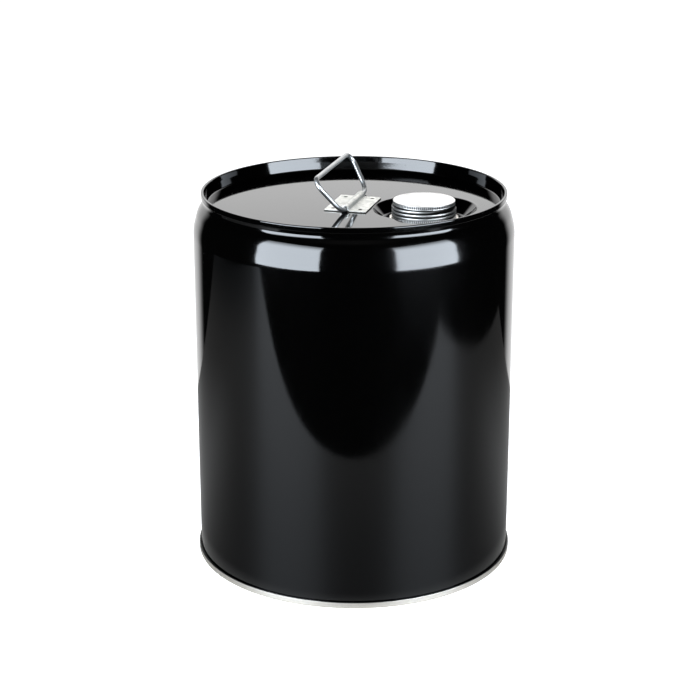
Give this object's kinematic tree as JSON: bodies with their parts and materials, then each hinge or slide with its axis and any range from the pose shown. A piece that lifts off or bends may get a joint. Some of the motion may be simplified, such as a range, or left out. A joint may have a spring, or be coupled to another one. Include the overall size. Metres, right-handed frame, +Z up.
{
  "type": "closed-head pail",
  "caption": "Cylindrical steel pail with seamed ends, a recessed head, a screw-capped spout in a well and a fold-down wire handle.",
  "frame": {"origin": "on the pail's axis, in the plane its bottom seam stands on", "axes": "+Z up along the pail's axis; +X to the side the spout is on, seen from the front; -Y is the front"},
  "size_m": [0.2908, 0.2908, 0.3607],
  "materials": {
    "shell_enamel": "gloss black baked enamel",
    "head_enamel": "gloss black baked enamel",
    "tinplate": "bright tinplate",
    "neck_tinplate": "bright tinplate",
    "cap_tinplate": "bright tinplate",
    "galvanised_plate": "dull galvanised sheet",
    "galvanised_wire": "zinc-plated drawn wire",
    "seam_compound": "cured water-based compound",
    "gasket_rubber": "black nitrile",
    "liner_board": "pulp board with a plastic facing"
  },
  "bodies": {
    "pail": {"body_shell": "shell_enamel", "top_head": "head_enamel", "bottom_head": "tinplate", "top_seam_compound": "seam_compound", "bottom_seam_compound": "seam_compound", "spout_neck": "neck_tinplate", "neck_gasket": "gasket_rubber", "handle_bracket": "galvanised_plate"},
    "liner": {"cap_liner": "liner_board"},
    "cap": {"screw_cap": "cap_tinplate"},
    "handle": {"handle_wire": "galvanised_wire"}
  },
  "joints": [
    {"name": "cap_lift", "type": "slide", "parent": "pail", "child": "liner", "axis": [0, 0, 1], "range_m": [0, 0.0136]},
    {"name": "cap_turn", "type": "hinge", "parent": "liner", "child": "cap", "pos_m": [0.06169, -0.01572, 0.33], "axis": [0, 0, 1], "range_deg": [0, 1530]},
    {"name": "handle_fold", "type": "hinge", "parent": "pail", "child": "handle", "pos_m": [-0.001, -0.0013, 0.32862], "axis": [-0.2605, -0.9655, 0], "range_deg": [-100.5, 53.5]}
  ],
  "couplings": [
    {"joint": "cap_lift", "follows": "cap_turn", "m_per_rad": 0.0005093}
  ]
}
